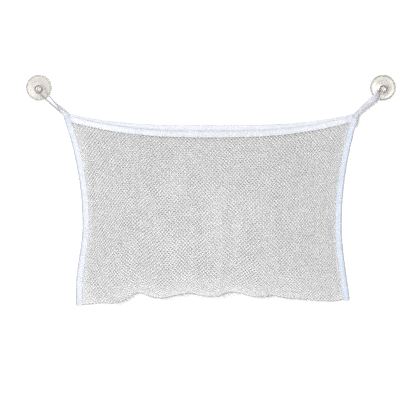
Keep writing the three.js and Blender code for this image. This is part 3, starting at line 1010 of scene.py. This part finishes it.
def stitches(name, lines):
    """Rows of stitches along lines, each given as points on the tape and the way out of it there."""
    bend = np.linspace(-1, 1, STITCH_STEPS)
    height = STITCH_RISE - STITCH_DIP * np.abs(bend) ** 3
    taper = STITCH_RADIUS * np.sqrt(np.clip(1.06 - np.abs(bend) ** 4, 0.05, 1))
    all_points, all_quads, all_ends, all_maps, base = [], [], [], [], 0
    for points, outward in lines:
        distance = arc_length(points, 0)
        middles = np.arange(STITCH_PITCH / 2, distance[-1] - STITCH_PITCH / 2, STITCH_PITCH)
        for n, middle in enumerate(middles):
            places = middle + bend * STITCH_LENGTH / 2 + STITCH_SLIP * hashed(n, base, 1)
            path, out = (
                np.stack([np.interp(places, distance, column) for column in rows.T], -1)
                for rows in (points, outward)
            )
            made, (quads, ends), maps = sweep(*tube(path + unit(out) * height[:, None], taper, sides=5))
            all_points.append(made)
            all_quads.append(quads + base)
            all_ends.append(ends + base)
            all_maps.append(maps)
            base += len(made)
    faces = [np.concatenate(all_quads), np.concatenate(all_ends)]
    return make_piece(name, THREAD, np.concatenate(all_points), faces, np.concatenate(all_maps))


def tape_lines(stations, trim=0):
    """Lines for stitches on both sides of a folded tape, near its lip."""
    edge, out, across, groove_half, squeeze = stations
    keep = slice(trim, len(edge) - trim)
    place = edge + out * (EDGE_INSET - FOLD_WIDTH + STITCH_INSET)
    lines = []
    for face in (-1, 1):
        off = face * (groove_half + TAPE_THICKNESS - STITCH_BED) * squeeze
        lines.append(((place + across * off[:, None])[keep], (face * across)[keep]))
    return lines


def binding_stitches(name, side):
    z = side_heights(binding_end(side) + ROUNDED_END, TOP_Z - PATCH_LENGTH)
    return stitches(name, tape_lines(side_stations(side, z)))


def bar_tack(name, side):
    """A bar of close stitches wound round the pinched top of a corner."""
    t = np.linspace(0, 1, TACK_TURNS * TACK_STEPS)
    angle = 2 * np.pi * TACK_TURNS * t
    core = TACK_CORE * (1 + TACK_UNEVEN[0] * drift(t * TACK_LENGTH, TACK_UNEVEN[1], side))
    x = (t - 0.5) * TACK_LENGTH + TACK_SWAY * np.sin(angle)
    path = np.stack((x, core * np.cos(angle), core * np.sin(angle)), -1) + corner_point(side)
    return make_piece(name, THREAD, *sweep(*tube(path, TACK_THREAD, sides=6)))


front_hem_stitches = stitches("front_hem_stitches", tape_lines(FRONT.hem, HEM_TRIM))
back_hem_stitches = stitches("back_hem_stitches", tape_lines(BACK.hem, HEM_TRIM))
side_stitches = pair(binding_stitches, "binding_stitches")
tacks = pair(bar_tack, "tack_thread")


# Hanging loops.


def loop_path(side, reach):
    """The middle line of a loop in its own plane, as places along the way and off it, with the tape's turn,
    its width where it is gathered, and shares of the way from the corner."""
    radius = NECK_DIAMETER / 2 + CLEARANCE + TAPE_THICKNESS / 2
    touch = math.acos(radius / reach)
    share = np.linspace(0, 1, LEG_STEPS + 1)
    leg = lerp(-LOOP_TAIL, reach - radius * math.cos(touch), share)
    ways, widths, turns = [], [], []
    for stations in LOOP_LEGS[side]:
        places, *columns = np.transpose(stations)
        rows = np.stack([np.interp(share, places, column) for column in columns], -1)
        for smoothing in LEG_SMOOTHING:
            rows = smoothed(rows, smoothing)
        ways.append(np.stack((leg, rows[:, 0]), -1))
        widths.append(rows[:, 1])
        turns.append(np.radians(rows[:, 2]))
    angle = np.linspace(touch, 2 * math.pi - touch, ARC_STEPS + 1)[1:-1]
    arc = np.stack((reach - radius * np.cos(angle), radius * np.sin(angle)), -1)
    ones = np.ones(len(arc))
    centre = np.concatenate((ways[0], arc, ways[1][::-1] * (1, -1)))
    turn = np.concatenate((turns[0], math.pi / 2 * ones, math.pi - turns[1][::-1]))
    gather = np.concatenate((widths[0], ones, widths[1][::-1]))
    return centre, turn, gather, np.concatenate((share, ones, share[::-1]))


def loop_section(length, turn, gather, from_corner, side):
    """The tape's section at each station, as places across it and square to it, and the map's places."""
    w = np.linspace(-1, 1, LOOP_COLUMNS)
    x = LOOP_WIDTH / 2 * w * gather[:, None]
    front = np.sign(np.cos(turn))
    hollow = LOOP_HOLLOW * np.sqrt(1 - gather**2) * smoothstep(from_corner, *HOLLOW_FROM)
    soft = LOOP_WAVES[0] * drift(length, LOOP_WAVES[1], side)[:, None] * (1 - w * w)
    curl = np.clip((w * front[:, None] - CURL_START) / (1 - CURL_START), 0, 1) ** 2
    curled = LOOP_CURL * smoothstep(from_corner, *CURL_FROM) * (1 - smoothstep(from_corner, *CURL_TO))
    profile = (front * hollow)[:, None] * (w * w - HOLLOW_MIDDLE) + soft
    profile = profile + (curled * np.cos(turn))[:, None] * curl
    half = TAPE_THICKNESS / 2 * lerp(1.0, THIN_EDGE, w**6)
    upper = np.stack((x, profile + half), -1)
    lower = np.stack((x, profile - half), -1)
    tip_b = np.stack((x[:, -1:] + LOOP_TIP, profile[:, -1:]), -1)
    tip_a = np.stack((x[:, :1] - LOOP_TIP, profile[:, :1]), -1)
    span = (w + 1) * LOOP_WIDTH / 2
    around = np.concatenate((span, [LOOP_WIDTH + LOOP_TIP_MAP], span[::-1], [-LOOP_TIP_MAP], span[:1]))
    return np.concatenate((upper, tip_b, lower[:, ::-1], tip_a), 1), around


def hanging_loop(name, side):
    """A tape from a corner round the neck of its cup and back."""
    depth = np.array((0.0, 1.0, 0.0))
    along, reach = loop_way(side)
    aside = np.cross(depth, along)
    stack = (TAPE_THICKNESS + CLEARANCE) / 2
    centre, turn, gather, from_corner = loop_path(side, reach)
    cos, sin = np.cos(turn)[:, None], np.sin(turn)[:, None]
    heading = unit(smoothed(np.gradient(centre, axis=0), HEADING_SMOOTHING))
    sideways = heading[:, :1] * aside - heading[:, 1:] * along
    wide = cos * sideways + sin * depth
    thick = -sin * sideways + cos * depth
    middle = corner_point(side) + centre[:, :1] * along + centre[:, 1:] * aside - stack * cos * depth
    length = arc_length(middle, 0)
    ring, around = loop_section(length, turn, gather, from_corner, side)
    slant = 1 - smoothstep(from_corner, 0.0, LOOP_SLANT)
    shear = -(slant * wide[:, 2] / along[2])[:, None] * ring[..., 0]
    points = middle[:, None] + ring[..., :1] * wide[:, None] + ring[..., 1:] * thick[:, None]
    points = points + shear[..., None] * along
    return make_piece(name, LOOP_TAPE, *sweep(points, length, around))


loops = pair(hanging_loop, "loop_tape")


# Suction cups.


def cup_profile():
    """Points from the middle of the hollow round the rim to the top of the head: radius, and distance from
    the wall. Each curve starts where the last one ends."""
    rim, neck, head = CUP_DIAMETER / 2, NECK_DIAMETER / 2, HEAD_DIAMETER / 2
    seat, dome, base, top = rim - RIM_WIDTH, DOME_HEIGHT, HEAD_BASE, CUP_HEIGHT
    t = np.linspace(0, 1, CURVE_STEPS)
    start = (0, CAVITY_DEPTH)
    pieces = [np.array([start])]
    for handles in (
        ((6, CAVITY_DEPTH), (12, 1.6), (seat, 0.0)),
        ((seat + 1, 0.0), (rim - 0.8, 0.0), (rim - 0.3, 0.0)),
        ((rim + 0.1, 0.0), (rim + 0.1, 1.0), (rim - 0.35, RIM_HEIGHT + 0.3)),
        ((rim - 0.8, 2.0), (rim - 1.5, 1.9), (rim - 2.0, 1.35)),
        ((rim - 2.4, 0.95), (rim - 2.7, 1.3), (rim - 3.2, 1.7)),
        ((seat - 2.6, 3.2), (neck * 2.1, dome * 0.78), (neck + 0.9, dome - 0.75)),
        ((neck + 0.2, dome - 0.3), (neck, dome), (neck, dome + 1.2)),
        ((neck - 0.1, dome + 4), (neck - 0.1, base - 4), (neck, base - 0.9)),
        ((neck + 0.1, base), (head, base - 0.1), (head, base + 1.9)),
        ((head, top - 0.7), (head - 1.3, top), (head - 2.4, top)),
        ((head - 3.4, top), (1.8, top - 0.55), (0, top - 0.55)),
    ):
        curve = np.stack([bezier(h, t) for h in zip(start, *handles)], -1)
        pieces.append(curve[1:])
        start = handles[-1]
    return np.concatenate(pieces)


def suction_cup(name, side):
    """A cup turned from its profile, leaning as the bag pulls it, with a fan of faces at each pole."""
    profile = cup_profile()
    radius, off_wall = profile[:, :1], profile[:, 1:]
    angle = np.linspace(0, 2 * np.pi, CUP_SEGMENTS, endpoint=False)
    x = side * CUP_SPAN / 2 + radius * np.cos(angle)
    rings = np.stack((x, np.broadcast_to(-off_wall, x.shape), radius * np.sin(angle)), -1)
    rings = rings + cup_lean(side, off_wall)
    body = rings[1:-1]
    points = np.concatenate((body.reshape(-1, 3), rings[[0, -1], 0]))
    along = arc_length(profile, 0)
    along = along[1:-1] / along[-1]
    quads, maps = ring_quads(body, along, np.arange(CUP_SEGMENTS + 1) / CUP_SEGMENTS)
    ring = np.arange(CUP_SEGMENTS)
    after = (ring + 1) % CUP_SEGMENTS
    last = (len(body) - 1) * CUP_SEGMENTS
    pole = np.full(CUP_SEGMENTS, len(points) - 2)
    fans = ((pole, after, ring), (pole + 1, last + ring, last + after))
    fans = np.concatenate([np.stack(fan, 1) for fan in fans])
    if not faces_out(points, quads):
        quads, fans, maps = quads[:, ::-1], fans[:, ::-1], maps[:, ::-1]
    pole_maps = np.repeat(((0.0, 0.0), (1.0, 0.0)), 3 * CUP_SEGMENTS, 0)
    maps = np.concatenate((maps.reshape(-1, 2), pole_maps))
    # The right cup's plastic is painted darker, as shade.
    material = plastic_material(f"{SIDES[side]}_plastic", CUP_TINT_RIGHT_SHADED[side])
    return make_piece(name, material, points, [quads, fans], maps)


cups = pair(suction_cup, "cup")


# Each piece with the CAD nodes that it stands for, the body that it moves with and the slot of its finish.
# A piece without a body here is left unattached, with its transform baked into its mesh.
uses = [
    (front_net, ("front_net", "front_net_edge"), None, "net"),
    (back_net, ("back_net",), "bag", "net"),
    (front_hem, ("front_hem",), None, "tape"),
    (back_hem, ("back_hem",), "bag", "tape"),
    (front_hem_stitches, (), None, "thread"),
    (back_hem_stitches, (), "bag", "thread"),
]
for side, word in SIDES.items():
    uses += [
        (bindings[side], (f"{word}_side_binding",), "bag", "tape"),
        (patches[side], (f"{word}_corner_patch",), None, "tape"),
        (tacks[side], (f"{word}_bar_tack",), "corner_stitches", "thread"),
        (loops[side], (f"{word}_hanging_loop",), f"{word}_loop", "tape"),
        (cups[side], (f"{word}_suction_cup",), "wall_cups", "clear_plastic"),
        (side_stitches[side], (), "bag", "thread"),
    ]
for piece, nodes, body, slot in uses:
    if nodes:
        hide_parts(*nodes)
    if body:
        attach(piece, body)
for piece in (front_net, front_hem, front_hem_stitches):
    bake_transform(piece)
for piece in patches.values():
    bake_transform(piece)


# Studio: a white wall that the cups are pressed onto, a pale floor, soft light and the camera.


def plane(name, corners, material):
    obj = add_object(name, material, corners, [(0, 1, 2, 3)])
    return obj


def floor_plane(name, z, material):
    corners = ((-1, -1), (1, -1), (1, 1), (-1, 1))
    return plane(name, [(FLOOR_HALF * x, FLOOR_HALF * y, z) for x, y in corners], material)


def one_sided(tree, shader):
    """Lets a surface be seen from its front only."""
    backfacing = add_node(tree, "ShaderNodeNewGeometry").outputs["Backfacing"]
    mix_shader(tree, backfacing, shader, add_node(tree, "ShaderNodeBsdfTransparent"))


def stage_material(name, inputs):
    material, tree, shader = new_material(name)
    fill_inputs(tree, shader, inputs)
    one_sided(tree, shader)
    return material


def seen_floor_material():
    """The floor as the camera sees it: equally pale all over."""
    material, tree, _ = new_material("seen_floor")
    speckle = noise_node(tree, place_node(tree), scale=300.0)
    colour = ramp_node(tree, speckle, ((0.3, FLOOR_SPECKLES[0]), (0.7, FLOOR_SPECKLES[1])))
    one_sided(tree, add_node(tree, "ShaderNodeEmission", {"Color": colour}))
    material.cycles.emission_sampling = "NONE"
    return material


def area_light(name, place, power):
    light = bpy.data.lights.new(name, "AREA")
    light.shape = "DISK"
    light.size = LIGHT_SIZE
    light.energy = power
    obj = bpy.data.objects.new(name, light)
    obj.location = place
    obj.rotation_euler = (Vector(MIDDLE) - Vector(place)).to_track_quat("-Z", "Y").to_euler()
    obj.visible_camera = False
    bpy.context.scene.collection.objects.link(obj)


def studio_world():
    """Bright in front of the wall and dim to the sides, so that turned edges are grey, and white
    where it is seen itself."""
    world = bpy.data.worlds.new("studio")
    world.use_nodes = True
    tree = world.node_tree
    facing = parts_of(tree, place_node(tree, "Generated"))["Y"]
    span = {"Value": facing, "From Min": -0.25, "From Max": -0.95, "To Min": 0.06, "To Max": 0.45}
    ahead = add_node(tree, "ShaderNodeMapRange", span).outputs[0]
    seen = add_node(tree, "ShaderNodeLightPath").outputs["Is Camera Ray"]
    strength = math_node(tree, "MAXIMUM", ahead, seen)
    fill_inputs(tree, tree.nodes["Background"], {"Color": WHITE, "Strength": strength})
    return world


wall_corners = ((-WALL_HALF, FLOOR_Z), (WALL_HALF, FLOOR_Z), (WALL_HALF, WALL_HALF), (-WALL_HALF, WALL_HALF))
wall_look = {"Base Color": WALL_COLOUR, "Roughness": 0.9, "Specular IOR Level": 0.0}
wall = plane("wall", [(x, WALL_Y, z) for x, z in wall_corners], stage_material("wall", wall_look))
# The lamp behind the wall lights the back of the bag.
wall.visible_shadow = False
# The floor glows a little, so that it lights the bag softly from below.
glow = {"Emission Color": FLOOR_COLOUR, "Emission Strength": 0.2}
floor_look = {"Base Color": FLOOR_COLOUR, "Roughness": 0.8, **glow}
floor_plane("floor", FLOOR_Z, stage_material("floor", floor_look))
seen_floor = floor_plane("seen_floor", FLOOR_Z + SEEN_FLOOR_RISE, seen_floor_material())
seen_floor.visible_diffuse = False
seen_floor.visible_glossy = False
seen_floor.visible_transmission = False
seen_floor.visible_shadow = False
area_light("key", KEY_PLACE, KEY_POWER)
area_light("back", BACK_PLACE, BACK_POWER)

scene = bpy.context.scene
scene.world = studio_world()
scene.view_settings.view_transform = "Standard"
# A denoiser takes the fine openings of the net for noise, so there is none, and the light is kept simple.
scene.cycles.use_denoising = False
scene.cycles.sampling_pattern = "BLUE_NOISE"
scene.cycles.use_adaptive_sampling = False
scene.cycles.sample_clamp_indirect = 3.0
scene.cycles.sample_clamp_direct = 4.0
scene.cycles.diffuse_bounces = 3
# The light behind the cups is the light that their shadows let through.
scene.cycles.caustics_refractive = False

camera = bpy.data.objects.new("camera", bpy.data.cameras.new("camera"))
camera.data.sensor_width = CAMERA_SENSOR
camera.data.lens = CAMERA_SENSOR * CAMERA_DISTANCE / FRAME_WIDTH
back = Vector((0.0, -math.cos(ELEVATION), math.sin(ELEVATION)))
camera.location = LOOK_AT + back * CAMERA_DISTANCE
camera.rotation_euler = (-back).to_track_quat("-Z", "Y").to_euler()
scene.collection.objects.link(camera)
bpy.context.scene.camera = camera
